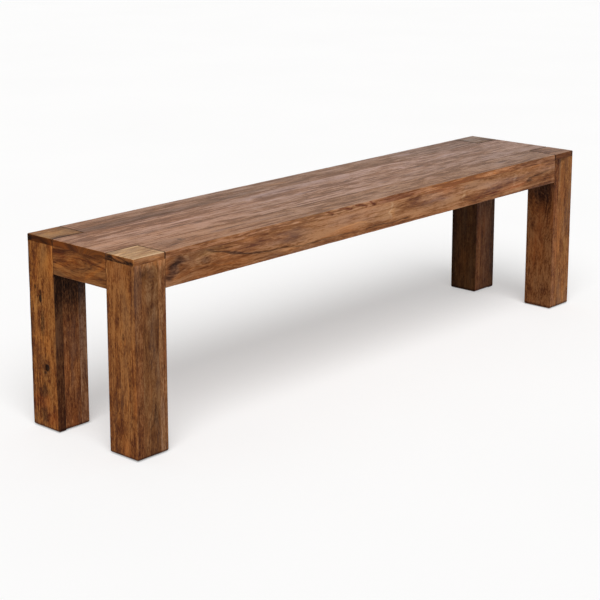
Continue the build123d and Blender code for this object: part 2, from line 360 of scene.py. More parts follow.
# The values of CUT_INPUTS: on boards that the photograph doesn't show, whose seeds start at
# OTHER_SEEDS, and on those that it shows. The pith's place is in metres from a board's middle.
OTHER_SEEDS = 30.0
PLAIN_CUT = (0.0, 0.01, -0.06, 0.02, 1.0, 0.3)
CUTS = {
    "seat_board_front": (1.0, 0.02, -0.07, 0.012, 1.4, 0.3),
    "seat_board_middle_front": (2.0, -0.03, -0.05, 0.02, 1.4, 0.2),
    "seat_board_middle_back": (3.0, 0.025, -0.06, -0.015, 1.25, 0.3),
    "seat_board_back": (4.0, -0.02, -0.06, 0.015, 1.25, 0.4),
    "leg_cap_front_left": (5.0, 0.03, -0.06, 0.01, 0.9, 0.1),
    "leg_cap_back_left": (6.0, 0.02, -0.08, 0.01, 1.2, 0.1),
    "leg_cap_front_right": (15.0, 0.02, -0.08, 0.01, 1.2, 0.1),
    "leg_cap_back_right": (16.0, 0.02, -0.08, 0.01, 1.2, 0.1),
    "apron_front": (7.0, 0.015, -0.045, 0.016, 1.0, 0.1),
    "apron_left": (8.0, -0.06, -0.02, 0.45, 1.25, 0.1),
    "leg_front_left_board_left": (9.0, 0.01, -0.06, 0.02, 1.2, 0.1),
    "leg_front_left_board_front": (10.0, 0.012, -0.05, 0.05, 0.85, 0.1),
    "leg_front_left_board_right": (11.0, 0.0, -0.06, 0.02, 0.95, 0.1),
    "leg_back_left_board_left": (12.0, -0.015, -0.035, 0.12, 1.5, 0.2),
    "leg_back_left_board_front": (13.0, 0.01, -0.06, 0.02, 1.2, 0.1),
    "leg_back_left_board_right": (14.0, 0.01, -0.06, 0.02, 1.2, 0.1),
    "leg_front_right_board_left": (17.0, 0.01, -0.06, 0.02, 1.4, 0.2),
    "leg_front_right_board_front": (18.0, 0.012, -0.05, 0.03, 0.9, 0.1),
    "leg_front_right_board_right": (19.0, 0.0, -0.06, 0.02, 0.9, 0.1),
    "leg_back_right_board_left": (20.0, 0.01, -0.06, 0.02, 1.0, 0.1),
    "leg_back_right_board_front": (21.0, 0.01, -0.06, 0.02, 1.0, 0.1),
}

# Specular level of the oiled wood, by kind of board
GLOSS = {"seat": 0.1, "cap": 0.05, "apron": 0.04, "leg": 0.03, "inner": 0.05}

# Tints that multiply a board's colour: by kind, and on single boards by the bench's top, its
# front or its left end, where the place looks that way. The single boards' tints by face are
# partly the wood's tone and partly painted light and shade: darker on faces in the shade under
# the seat and apron, and paler, greyer tops as a painted sheen
KIND_TINTS = {
    "seat": (1.15, 1.15, 1.0), "cap": (0.95, 0.9, 0.8), "apron": (0.92, 0.86, 0.76),
    "leg": (0.82, 0.76, 0.64), "inner": (0.9, 0.85, 0.8),
}
BOARD_TINTS_AND_PAINTED_LIGHT = {
    "seat_board_back": {"top": (1.07, 1.3, 1.48), "end": (1.2, 1.2, 1.0)},
    "seat_board_middle_back": {"top": (1.33, 1.66, 2.06), "end": (1.81, 1.49, 0.26)},
    "seat_board_middle_front": {"top": (1.28, 1.55, 1.79), "end": (2.38, 2.23, 0.57)},
    "seat_board_front": {
        "top": (1.17, 1.35, 1.38), "front": (1.11, 1.03, 0.81), "end": (1.2, 1.2, 1.0)},
    "leg_cap_front_left": {
        "top": (2.02, 2.94, 3.57), "front": (1.02, 1.01, 0.91), "end": (3.68, 4.34, 2.97)},
    "leg_cap_back_left": {
        "top": (1.09, 1.24, 1.1), "front": (0.9, 0.9, 0.8), "end": (1.54, 1.34, 0.34)},
    "leg_cap_front_right": {
        "top": (1.04, 1.32, 1.87), "front": (0.46, 0.35, 0.25), "end": (1.0, 1.0, 1.0)},
    "leg_cap_back_right": {"top": (0.95, 1.44, 2.3), "end": (1.0, 1.0, 1.0)},
    "apron_front": {"front": (1.1, 1.16, 1.26)},
    "apron_left": {"end": (0.71, 0.58, 0.35)},
    "leg_front_left_board_left": {"end": (0.85, 0.75, 0.55), "front": (0.67, 0.64, 0.65)},
    "leg_front_left_board_front": {"front": (0.66, 0.69, 0.71)},
    "leg_front_left_board_right": {"front": (0.87, 0.97, 1.14)},
    "leg_back_left_board_left": {"end": (0.86, 0.73, 0.44), "front": (0.34, 0.31, 0.32)},
    "leg_back_left_board_front": {"front": (0.8, 0.75, 0.75)},
    "leg_back_left_board_right": {"front": (0.81, 0.94, 1.3)},
    "leg_front_right_board_left": {"end": (0.54, 0.49, 0.46), "front": (0.84, 0.75, 0.71)},
    "leg_front_right_board_front": {"front": (1.03, 1.03, 0.94)},
    "leg_front_right_board_right": {"front": (1.02, 1.03, 0.95)},
    "leg_back_right_board_left": {"end": (0.24, 0.23, 0.21), "front": (0.57, 0.57, 0.72)},
    "leg_back_right_board_front": {"front": (0.54, 0.55, 0.7)},
    "leg_back_right_board_right": {"front": (0.47, 0.49, 0.6)},
}

# The values of KIND_INPUTS: rings a metre and how strong they are, how fine the grain is, how
# short its flecks and how strong, how pale the light wood is, and how short the fibres are
KINDS = {
    "seat": (62.0, 1.4, 0.62, 0.5, 1.4, 1.0, 1.7),
    "cap": (90.0, 1.0, 0.8, 0.8, 1.0, 0.4, 1.0),
    "apron": (72.0, 1.6, 0.8, 1.05, 0.88, 0.15, 1.0),
    "leg": (120.0, 0.8, 1.0, 2.6, 1.05, 0.0, 2.4),
    "inner": (100.0, 1.2, 0.9, 1.0, 1.0, 0.0, 1.0),
}

# Painted shadow on the feet, dark just above the floor: how high it starts and is full, its colour
FOOT_SHADOW_HEIGHTS, FOOT_SHADOW_COLOUR = (8.5 * MM, 4.0 * MM), (0.50, 0.46, 0.44)

# The seat's rings calm down towards the right: how much, and between which places
CALM, CALM_REACH = 0.55, (-0.15, 0.30)

# Marks of single boards, read off the photograph, by board and face of the bench, in
# millimetres: "top" from the left end and the back edge, "front" from the left end and the top,
# "end" from the back edge and the top.
KNOTS, HOLES, SPOTS, LINES = {}, {}, {}, {}

# A knot bends the grain around a middle, within a reach along both axes of its face
KNOTS["apron_front", "front"] = ((113, 40, 34, 26), (212, 40, 26, 16))
KNOTS["apron_left", "end"] = ((168, 44, 40, 20),)
KNOTS["leg_back_left_board_left", "end"] = ((38, 143, 12, 22), (54, 303, 15, 22))
KNOTS["leg_front_left_board_left", "end"] = ((314, 186, 9, 24),)
KNOTS["leg_front_left_board_front", "front"] = ((44, 50, 30, 40),)
KNOTS["leg_front_right_board_left", "end"] = ((300, 150, 34, 44),)

# A hole has a shade, an amount, a middle, its reach along both axes, and a pit under it
HOLES["seat_board_back", "top"] = ((DARK, 0.45, 348, 83, 30, 5),)
HOLES["leg_back_left_board_left", "end"] = (
    (DARK, 1.0, 38, 143, 6.5, 11), (DARK, 0.85, 40, 130, 3.5, 9), (DARK, 0.95, 21, 119, 3.5, 6),
    (DARK, 1.0, 55, 302, 8.5, 10), (DARK, 0.85, 48, 315, 5, 4))

# A spot is a hole with a soft rim and no pit. Some lie across several boards.
# The seat's two drifts are a painted sheen: the seat warmer at the left end and greyer at the right
LEFT_SHEEN_DRIFT = (WARM, 0.9, 60, 176, 520, 420)
RIGHT_SHEEN_DRIFT = (COOL, 0.9, 1640, 176, 520, 420)
# The back legs' two shadows are painted shadow: the seat's shade over the tops of their front faces
BACK_LEFT_SHADOW = (DARK, 0.95, 45, 75, 100, 120)
BACK_RIGHT_SHADOW = (DARK, 0.95, 1625, 80, 90, 120)
LEFT_CREST = (BRIGHT, 0.8, 50, 12, 60, 20)
LEFT_STAIN = (BROWN, 0.85, 28, 26, 15, 18)
SPOTS["seat_board_back", "top"] = (
    LEFT_SHEEN_DRIFT, RIGHT_SHEEN_DRIFT, (BROWN, 0.45, 250, 76, 230, 20), (BROWN, 0.6, 462, 75, 32, 9),
    (ORANGE, 0.5, 770, 46, 40, 9), (ORANGE, 0.45, 905, 44, 24, 6), (PINK, 0.4, 1290, 40, 60, 14),
    (BROWN, 0.3, 1500, 44, 220, 50))
SPOTS["seat_board_middle_back", "top"] = (
    LEFT_SHEEN_DRIFT, RIGHT_SHEEN_DRIFT, (BROWN, 0.5, 230, 94, 220, 12), (BROWN, 0.6, 735, 172, 48, 9),
    (GREY, 0.4, 680, 120, 130, 14), (DARK, 0.65, 1190, 174, 28, 6), (PINK, 0.5, 1140, 152, 18, 9))
SPOTS["seat_board_middle_front", "top"] = (
    LEFT_SHEEN_DRIFT, RIGHT_SHEEN_DRIFT, (BROWN, 0.6, 326, 207, 14, 4), (DARK, 0.65, 1206, 238, 18, 5),
    (RED, 0.3, 1010, 215, 60, 12), (BROWN, 0.5, 970, 232, 26, 5), (BROWN, 0.5, 1075, 226, 24, 5),
    (ORANGE, 0.2, 60, 205, 70, 26))
SPOTS["seat_board_front", "top"] = (
    LEFT_SHEEN_DRIFT, RIGHT_SHEEN_DRIFT, (BROWN, 0.5, 150, 300, 60, 34), (DARK, 0.5, 188, 292, 10, 14),
    (BROWN, 0.5, 305, 300, 36, 9), (DARK, 0.65, 1392, 304, 30, 6),
    (BROWN, 0.28, 1440, 306, 170, 50), (PINK, 0.5, 1085, 292, 44, 12))
SPOTS["seat_board_front", "front"] = (
    (PINK, 0.3, 430, 4, 120, 8), (UMBER, 0.5, 140, 8, 100, 16), (STRAW, 0.55, 580, 8, 210, 16),
    (RUST, 0.7, 875, 8, 95, 16), (ORANGE, 0.6, 1180, 8, 220, 16), (UMBER, 0.7, 1500, 8, 130, 16),
    (ORANGE, 0.7, 1290, 8, 12, 3))
SPOTS["apron_front", "front"] = (
    (PLUM, 0.7, 101, 58, 20, 15), (PLUM, 0.8, 113, 42, 24, 19), (PLUM, 0.7, 131, 27, 20, 13),
    (DARK, 0.6, 116, 38, 18, 12), (DARK, 0.5, 128, 28, 14, 8), (DARK, 0.5, 99, 60, 10, 8),
    (STRAW, 0.6, 152, 24, 9, 8), (STRAW, 0.45, 188, 38, 10, 10), (BROWN, 0.8, 212, 40, 18, 11),
    (PINK, 0.5, 400, 34, 130, 18), (ORANGE, 0.4, 280, 66, 110, 9), (OLIVE, 0.35, 230, 24, 60, 9),
    (STRAW, 0.4, 830, 38, 60, 18), (ORANGE, 0.45, 500, 66, 60, 6), (ORANGE, 0.35, 860, 44, 12, 18),
    (UMBER, 0.55, 150, 52, 130, 50), (UMBER, 0.8, 310, 62, 170, 18), (UMBER, 0.45, 280, 70, 90, 10),
    (PINK, 0.45, 720, 30, 150, 22), (PINK, 1.0, 1040, 30, 130, 18), (STRAW, 0.4, 1000, 26, 60, 12),
    (PINK, 0.8, 1330, 48, 140, 22), (PINK, 0.6, 1550, 28, 80, 14), (UMBER, 0.55, 1510, 60, 110, 24),
    (STRAW, 0.55, 850, 34, 6, 22), (STRAW, 0.6, 1158, 46, 8, 24), (STRAW, 0.6, 1387, 42, 8, 24),
    (DARK, 0.75, 1454, 55, 24, 7), (UMBER, 0.6, 1560, 54, 44, 16))
SPOTS["apron_left", "end"] = (
    (RUST, 0.55, 112, 28, 30, 18), (BROWN, 0.6, 140, 20, 50, 8), (DARK, 0.45, 216, 20, 46, 6),
    (BROWN, 0.5, 108, 74, 30, 8))
SPOTS["leg_back_left_board_left", "front"] = (BACK_LEFT_SHADOW,)
SPOTS["leg_back_left_board_left", "end"] = (
    (ORANGE, 0.5, 40, 245, 34, 36), (STRAW, 0.4, 18, 152, 14, 40), (ORANGE, 0.4, 70, 60, 14, 36),
    (BROWN, 0.5, 38, 143, 12, 20), (DARK, 0.75, 43, 198, 7, 34), (BROWN, 0.7, 52, 305, 18, 18),
    (DARK, 0.6, 41, 359, 26, 16), (RED, 0.8, 30, 385, 40, 34), (DARK, 0.6, 42, 415, 18, 20),
    (RED, 0.8, 62, 420, 26, 22))
SPOTS["leg_front_left_board_left", "end"] = (
    (DARK, 0.45, 313, 178, 4, 12), (ORANGE, 0.55, 319, 190, 4, 14), (ORANGE, 0.45, 306, 192, 3, 12),
    (RED, 0.3, 300, 40, 30, 30))
SPOTS["leg_front_left_board_left", "front"] = (LEFT_CREST, LEFT_STAIN)
SPOTS["leg_front_left_board_front", "front"] = (
    LEFT_CREST, LEFT_STAIN, (GREY, 0.3, 46, 110, 22, 80), (DARK, 0.4, 56, 350, 9, 30))
SPOTS["leg_front_left_board_right", "front"] = ((BRIGHT, 0.6, 50, 12, 60, 20),)
SPOTS["leg_cap_front_left", "end"] = (
    (DARK, 0.85, 274, 9, 16, 12), (DARK, 0.95, 338, 11, 26, 6), (DARK, 0.7, 300, 14, 44, 4))
SPOTS["leg_cap_front_left", "front"] = ((BROWN, 0.9, 28, 20, 18, 14),)
SPOTS["leg_cap_front_left", "top"] = ((BROWN, 0.6, 10, 275, 24, 16), (BROWN, 0.4, 62, 286, 20, 8))
SPOTS["leg_cap_back_left", "top"] = (
    (ORANGE, 0.6, 40, 38, 34, 18), (BROWN, 0.5, 20, 84, 60, 10), (BROWN, 0.4, 84, 26, 16, 30))
SPOTS["leg_cap_back_left", "end"] = ((DARK, 0.35, 44, 8, 48, 9), (DARK, 0.9, 2, 8, 16, 16))
SPOTS["leg_back_left_board_front", "front"] = (
    BACK_LEFT_SHADOW, (ORANGE, 0.35, 52, 320, 30, 60), (ORANGE, 0.45, 60, 410, 26, 36))
SPOTS["leg_back_left_board_right", "front"] = (BACK_LEFT_SHADOW, (ORANGE, 0.3, 78, 330, 12, 80))
SPOTS["leg_front_right_board_front", "front"] = (
    (DARK, 0.55, 1625, 14, 40, 12), (OLIVE, 0.5, 1644, 285, 8, 40), (BROWN, 0.4, 1610, 150, 10, 60),
    (ORANGE, 0.3, 1626, 400, 24, 40))
SPOTS["leg_front_right_board_left", "front"] = ((DARK, 0.5, 1590, 20, 20, 14),)
# The large plum spot at the top of this end is painted shade under the apron, round the knot
SPOTS["leg_front_right_board_left", "end"] = (
    (PLUM, 0.95, 308, 84, 70, 70), (UMBER, 0.7, 330, 150, 30, 40), (ORANGE, 0.35, 284, 160, 10, 34),
    (ORANGE, 0.3, 300, 300, 40, 60))
SPOTS["leg_back_right_board_left", "end"] = (
    (BROWN, 0.6, 44, 84, 100, 60), (PLUM, 0.55, 6, 260, 14, 300), (ORANGE, 0.35, 60, 380, 40, 80))
SPOTS["leg_back_right_board_left", "front"] = (BACK_RIGHT_SHADOW, (ORANGE, 0.8, 1592, 330, 20, 110))
SPOTS["leg_back_right_board_front", "front"] = (
    BACK_RIGHT_SHADOW, (ORANGE, 0.7, 1612, 320, 16, 120), (STRAW, 0.4, 1630, 230, 8, 40))
SPOTS["leg_back_right_board_right", "front"] = (BACK_RIGHT_SHADOW, (PLUM, 0.55, 1664, 260, 12, 260))
SPOTS["leg_cap_front_right", "top"] = (
    (STRAW, 0.4, 1628, 322, 26, 16), (BROWN, 0.4, 1600, 290, 22, 18))
SPOTS["leg_cap_front_right", "front"] = ((PLUM, 0.8, 1664, 8, 10, 14),)
SPOTS["leg_cap_back_right", "top"] = (
    (STRAW, 0.35, 1620, 42, 26, 26), (BROWN, 0.8, 1654, 70, 22, 26), (BROWN, 0.5, 1590, 16, 16, 30))

# A line has a shade, an amount, half its width, and its points
LINES["seat_board_middle_back", "top"] = (
    (PINK, 0.7, 4, (205, 160), (290, 165), (395, 172)),
    (PINK, 0.6, 4, (480, 140), (540, 146), (600, 144)),
    (DARK, 0.6, 3, (905, 156), (940, 146), (965, 138)),
    (STRAW, 0.5, 3, (915, 164), (950, 154), (975, 148)))
LINES["seat_board_middle_front", "top"] = (
    (BROWN, 0.6, 5, (110, 192), (220, 196), (405, 206)),
    (PINK, 0.5, 3, (150, 184), (260, 186), (400, 192)),
    (STRAW, 0.5, 3, (270, 258), (320, 260), (365, 259)),
    (BROWN, 0.6, 3, (1262, 246), (1285, 245), (1305, 240)))
LINES["seat_board_front", "top"] = (
    (BROWN, 0.7, 5, (280, 288), (330, 296), (430, 296), (560, 300)),
    (ORANGE, 0.4, 4, (555, 334), (620, 326), (700, 324)),
    (BROWN, 0.6, 3, (1050, 280), (1080, 273), (1108, 273)))
LINES["seat_board_front", "front"] = (
    (RUST, 0.75, 4, (600, 0), (618, 6), (640, 14)), (RUST, 0.95, 5.5, (644, 2), (675, 5), (714, 9)),
    (RUST, 0.9, 4.5, (718, 0), (740, 6), (766, 14)), (RUST, 1.0, 4, (766, 0), (778, 6), (796, 14)))
LINES["apron_front", "front"] = (
    (ORANGE, 0.5, 2.5, (150, 58), (200, 50), (250, 60), (300, 66)),
    (BROWN, 0.9, 4.2, (200, 16), (247, 28), (280, 38), (322, 46), (358, 54), (400, 57)),
    (DARK, 0.58, 3, (240, 28), (280, 38), (322, 46), (358, 54), (440, 59), (500, 61)),
    (DARK, 0.64, 3, (480, 61), (560, 67), (640, 66), (730, 68)),
    (DARK, 0.64, 3, (740, 67), (800, 66), (870, 68), (930, 65)),
    (ORANGE, 0.45, 3, (640, 52), (700, 48), (760, 56)),
    (RED, 0.55, 2.4, (980, 16), (1060, 18), (1120, 19)),
    (RED, 0.8, 2.8, (1200, 64), (1271, 62), (1340, 62), (1400, 60), (1450, 52)),
    (DARK, 0.55, 3.6, (1440, 48), (1500, 45), (1562, 40)))
LINES["apron_left", "end"] = (
    (ORANGE, 0.7, 8, (96, 58), (122, 50), (146, 40), (170, 38)),
    (BROWN, 0.8, 9, (150, 62), (172, 56), (192, 46), (206, 34)),
    (ORANGE, 0.8, 9, (196, 70), (216, 58), (238, 44), (260, 34)),
    (BROWN, 0.8, 4, (182, 62), (202, 48), (226, 34), (254, 22)))
# The pale lines by the end apron on the left legs' ends are a painted highlight on their rounded
# arrises
LINES["leg_back_left_board_left", "end"] = (
    (PLUM, 0.75, 3.6, (2, 16), (2, 160), (2, 430)), (PAINTED_HIGHLIGHT, 0.9, 2.2, (85, 16), (85, 50), (85, 80)))
LINES["leg_front_left_board_left", "end"] = (
    (PAINTED_HIGHLIGHT, 0.8, 2.2, (267, 16), (267, 50), (267, 80)),
    (RED, 0.45, 3, (274, 40), (270, 200), (272, 330), (270, 430)),
    (BROWN, 0.55, 3, (336, 240), (338, 300), (334, 380)),
    (ORANGE, 0.4, 2.2, (322, 260), (326, 300), (320, 350)))
LINES["leg_front_left_board_front", "front"] = (
    (ORANGE, 0.7, 1.4, (52, 8), (60, 20), (66, 36), (68, 60)),
    (BROWN, 0.6, 3, (26, 436), (36, 400), (48, 366), (56, 330)),
    (BROWN, 0.55, 2.4, (24, 404), (34, 372), (44, 345), (48, 310)))
LINES["leg_front_left_board_right", "front"] = (
    (ORANGE, 0.6, 1.6, (70, 40), (71, 140), (69, 260)),
    (RED, 0.5, 3.6, (80, 16), (84, 120), (82, 320), (84, 440)))
LINES["leg_cap_front_left", "end"] = (
    (DARK, 0.8, 4, (266, 3), (290, 8), (318, 13)), (DARK, 0.6, 2.4, (296, 3), (322, 6), (350, 11)))
LINES["leg_cap_front_left", "front"] = ((ORANGE, 0.6, 2, (44, 5), (60, 6), (72, 12)),)
LINES["leg_cap_front_left", "top"] = (
    (BROWN, 0.6, 3, (2, 304), (40, 298), (88, 292)),
    (RED, 0.6, 2.6, (6, 334), (50, 326), (88, 320)))
LINES["leg_cap_back_left", "end"] = ((ORANGE, 0.7, 2, (10, 4), (50, 6), (84, 8)),)
LINES["leg_front_right_board_left", "front"] = (
    (PLUM, 0.5, 5, (1588, 20), (1584, 120), (1590, 260)),)
LINES["leg_front_right_board_right", "front"] = (
    (UMBER, 0.7, 3, (1668, 24), (1669, 200), (1668, 430)),)

# Each face's two axes, and the axis and the side that it looks to
FACE_AXES = {"top": (0, 1), "front": (0, 2), "end": (1, 2)}
FACE_SIDE = {"top": (2, 1), "front": (1, -1), "end": (0, -1)}
FACING = (0.60, 0.80)

# Where a spot and a hole fade in, as shares of their reach, and a line, as shares of half its
# width and of its length
SPOT_RIM, HOLE_RIM, LINE_CORE = (1.20, 0.35), (1.0, 0.65), 0.2
LINE_START, LINE_STOP, LINE_MARGIN = (-0.03, 0.12), (1.03, 0.88), 2 * MM

# How tight a knot's pull is, how strong it is, and how much the rings swell
KNOT_TIGHT, KNOT_PULL, KNOT_SWELL = 0.7, 0.75, 0.35

# How far marks sway along and across the grain, and how far a hole's rim does
SWAY_ALONG, SWAY_ACROSS, SWAY_RIM = 0.040, 0.010, 0.004

# Where a seam fades towards an edge and at its rim, and the wood's relief
SEAM_FACING, SEAM_CORE = (0.98, 0.85), 0.4
RELIEF, RELIEF_DEPTH = 0.35, 0.4 * MM


def kind_of(name):
    if name.startswith("leg_cap"):
        return "cap"
    if name.startswith("leg_") and "_board_" in name:
        return "leg"
    if name.startswith("seat_board"):
        return "seat"
    if name.startswith("apron_") and name != "apron_dowels":
        return "apron"
    return "inner"


def marks_of(table, name):
    """A board's marks in a table, each with its face."""
    return [(face, mark) for face in FACE_AXES for mark in table.get((name, face), ())]


def seams(name):
    """The sides of a board that others lie against: axis and sign in bench space, and kinds."""
    low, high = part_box(name)
    found = set()
    for other in nodes:
        if other == name or "inner" in (kind_of(name), kind_of(other)):
            continue
        other_low, other_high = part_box(other)
        pair = tuple(sorted((kind_of(name), kind_of(other))))
        for axis in range(3):
            rest = [k for k in range(3) if k != axis]
            shared = [min(high[k], other_high[k]) - max(low[k], other_low[k]) for k in rest]
            gaps = {1: other_low[axis] - high[axis], -1: other_high[axis] - low[axis]}
            if min(shared) >= LEAST_SEAM:
                found |= {(axis, sign, pair) for sign, gap in gaps.items() if abs(gap) < MM}
    return sorted(found)


def bench_place(face, s, t):
    """A mark's place on a face, as the two coordinates that the face spans."""
    first = BACK - s * MM if face == "end" else LEFT + s * MM
    second = (BACK if face == "top" else TOP) - t * MM
    return first, second


class Board:
    """One board's fields in board space, and its marks placed in them."""

    def __init__(self, net, name):
        self.net = net
        self.axes = grain_axes(name)
        low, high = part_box(name)
        self.middle, self.half = (low + high) / 2, (high - low) / 2
        place = net.add("TexCoord", {}, "Object")
        self.bench = net.split(net.vector("SUBTRACT", place, tuple(self.middle)))
        self.turned = net.split(net.add("TexCoord", {}, "Normal"))
        self.parts = [self.bench[k] for k in self.axes]
        self.facing = net.join(*(self.turned[k] for k in self.axes))

    def order(self, face, first, second):
        """A pair for a face's two axes as {u, v or w: value}, with the grain's own axis first."""
        pair = zip(FACE_AXES[face], (first, second))
        return dict(sorted((self.axes.index(axis), value) for axis, value in pair))

    def where(self, face, s, t):
        """A mark's place in board space, in metres."""
        pair = self.order(face, *bench_place(face, s, t))
        return {part: value - self.middle[self.axes[part]] for part, value in pair.items()}

    def knot(self, face, s, t, rs, rt):
        """Bends the grain round a knot, and returns how much the rings swell there."""
        reach = self.order(face, rs * MM, rt * MM)
        places = self.where(face, s, t)
        far = 0.0
        for part, value in places.items():
            gap = (self.parts[part] - value) * (KNOT_TIGHT / reach[part])
            far = self.net.math("POWER", gap, 2.0) + far
        pull = self.net.math("EXPONENT", far * -1.0)
        _, (across, value) = places.items()
        moved = (self.parts[across] - value) * pull * KNOT_PULL
        self.parts[across] = self.parts[across] - moved
        return pull * (KNOT_SWELL * max(rs, rt) * MM)

    def edge(self, free):
        """Distance to the nearest free edge: the second smallest distance to a free side."""
        near = []
        for axis in self.axes:
            low, high = (axis, -1) in free, (axis, 1) in free
            here, half = self.bench[axis], self.half[axis]
            if low and high:
                near.append(half - abs(here))
            elif high:
                near.append(half - here)
            else:
                near.append(here + half if low else 1.0)
        low = self.net.math("MINIMUM", near[0], near[1])
        high = self.net.math("MAXIMUM", near[0], near[1])
        return self.net.math("MAXIMUM", low, self.net.math("MINIMUM", high, near[2]))

    def toward(self, face):
        """One where a place looks the way that a face of the bench does."""
        axis, sign = FACE_SIDE[face]
        return self.net.step(self.turned[axis] * sign, *FACING)

    def spot(self, wavy, face, s, t, rs, rt, rim=SPOT_RIM):
        reach = self.order(face, rs * MM, rt * MM)
        near = [(wavy[k] - value) * (1 / reach[k]) for k, value in self.where(face, s, t).items()]
        far = self.net.vector("LENGTH", self.net.join(*near, 0.0), output="Value")
        return self.net.step(far, *rim)

    def line(self, wavy, face, wide, *points):
        places = sorted(tuple(self.where(face, s, t).items()) for s, t in points)
        (along, start), (across, _) = places[0]
        stop = places[-1][0][1]
        asides = [place[1][1] for place in places]
        low, high = min(asides) - LINE_MARGIN, max(asides) + LINE_MARGIN
        shape = [((a - start) / (stop - start), (b - low) / (high - low))
                 for (_, a), (_, b) in places]
        share = (wavy[along] - start) * (1 / (stop - start))
        course = self.net.curve(share, shape) * (high - low) + low
        inside = self.net.step(abs(wavy[across] - course), wide * MM, wide * MM * LINE_CORE)
        ends = self.net.step(share, *LINE_START) * self.net.step(share, *LINE_STOP)
        return inside * ends


def wood_material(name):
    kind = kind_of(name)
    material, net, shader = new_material(name + "_wood", Specular_IOR_Level=GLOSS[kind])
    board = Board(net, name)
    joined = seams(name)
    plain = list(board.parts)
    swell = 0.0
    for face, size in marks_of(KNOTS, name):
        swell = board.knot(face, *size) + swell

    given = {
        "Place": net.join(*board.parts), "Facing": board.facing, "Swell": swell,
        "Edge": board.edge(SIDES - {(axis, sign) for axis, sign, _ in joined}),
    }
    given.update(zip(CUT_INPUTS, CUTS.get(name, PLAIN_CUT)))
    given.update(zip(KIND_INPUTS, KINDS[kind]))
    if name not in CUTS:
        given["Seed"] = OTHER_SEEDS + sorted(nodes).index(name)
    if kind == "seat":
        calm = net.step(board.parts[0], *CALM_REACH) * -CALM + 1.0
        given["Ring Gain"] = calm * given["Ring Gain"]
    group = net.tree.nodes.new("ShaderNodeGroup")
    group.node_tree = ROSEWOOD
    for key, value in given.items():
        net.feed(group.inputs[key], value)
    colour, roughness, height, flecks = (Field(net, group.outputs[key]) for key in GROUP_OUTPUTS)
    # The tint: the kind's tone, then each face's tint, which also paints light and shade on that
    # face
    tint_and_painted_light = rgb(KIND_TINTS[kind])
    for face, own in BOARD_TINTS_AND_PAINTED_LIGHT.get(name, {}).items():
        tint_and_painted_light = net.mix(tint_and_painted_light, rgb(own), board.toward(face))
    colour = net.mix(colour, tint_and_painted_light, 1.0, "MULTIPLY")

    spots, lines, holes = (marks_of(table, name) for table in (SPOTS, LINES, HOLES))
    faces = sorted({face for face, _ in spots + lines + holes})
    if faces:
        sway = net.noises(net.join(*plain), SWAY, 1.5)
        reach = (SWAY_ALONG, SWAY_ACROSS, SWAY_ACROSS)
        wavy = [plain[k] + sway[k] * reach[k] for k in range(3)]
        finely = [plain[k] + sway[k] * SWAY_RIM for k in range(3)]
        grainy = flecks * -2.0 + 1.0
        seen = {face: board.toward(face) for face in faces}
    for draw, marks in ((board.spot, spots), (board.line, lines)):
        for face, (shade, amount, *size) in marks:
            share = draw(wavy, face, *size) * grainy * seen[face] * amount
            colour = net.mix(colour, rgb(shade), share, "MULTIPLY")
    for face, (shade, amount, *size) in holes:
        share = board.spot(finely, face, *size, HOLE_RIM) * amount
        colour = net.mix(colour, rgb(shade), share, "MULTIPLY")

    # Painted shadow: the legs darken just above the floor
    if kind == "leg":
        foot = net.step(board.bench[2] + board.half[2], *FOOT_SHADOW_HEIGHTS)
        colour = net.mix(colour, rgb(FOOT_SHADOW_COLOUR), foot, "MULTIPLY")
    for axis, sign, pair in joined:
        dark, wide = SEAMS[pair]
        wide *= WIDE_SEAMS.get(name, 1.0)
        gap = board.half[axis] - board.bench[axis] * sign
        onward = net.step(abs(board.turned[axis]), *SEAM_FACING)
        line = net.step(gap, wide * MM, wide * MM * SEAM_CORE)
        colour = net.mix(colour, rgb(VEIN, 0.5), line * onward * dark)
    net.feed(shader["Base Color"], colour)
    net.feed(shader["Roughness"], roughness)
    add_bump(net, shader, height, RELIEF, RELIEF_DEPTH)
    return material


def dress(node, material):
    for slot in nodes[node].material_slots:
        slot.material = material


# Boards as meshes: rounded arrises, worn unevenly, and pits at the knots' holes

# How far an edge is rounded: at a foot, on single legs' feet, at an arris that lies free, where
# a cap meets the seat, and at a glue line
EDGE_FOOT = 4.0 * MM
EDGE_FEET = {"leg_front_left": 5.5 * MM, "leg_back_left": 5.0 * MM}
EDGE_ARRIS, EDGE_CAP, EDGE_SEAM = 2.0 * MM, 1.6 * MM, 0.15 * MM
EDGE_STEPS = 4

# About how far apart the outlines along a board are
STATION = 24.0 * MM

# Wear: how deep at most, how many dents a metre, and how far from an arris and from a foot's edge
WEAR_DEPTH, WEAR_RATE, WEAR_FINER = 0.9 * MM, 24.0, 3.1
WEAR_REACH, FOOT_WEAR_REACH = 2.6 * MM, 6.0 * MM

# How far apart the seeds of the boards' wear are, and those of the legs'
WEAR_SEED, LEG_WEAR_SEED = 3.7, 5.3

# Pits: where their faces are cut, in shares of the reach, and how deep they are
PIT_RINGS = (-1.0, -0.7, -0.45, -0.2, 0.2, 0.45, 0.7, 1.0)
PIT_SHARE = 0.22


def shown_sides(name, joined):
    """The sides of a board that show, as (axis, sign): on no other board and on no hollow."""
    low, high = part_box(name)
    shown = SIDES - {(axis, sign) for axis, sign, _ in joined}
    if kind_of(name) == "leg":
        leg = name.split("board_")[0] + "board_"
        boxes = [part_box(other) for other in nodes if other.startswith(leg)]
        least = [min(box[0][axis] for box in boxes) for axis in range(3)]
        most = [max(box[1][axis] for box in boxes) for axis in range(3)]
        shown -= {(axis, -1) for axis in range(3) if low[axis] > least[axis] + MM}
        shown -= {(axis, 1) for axis in range(3) if high[axis] < most[axis] - MM}
    return shown


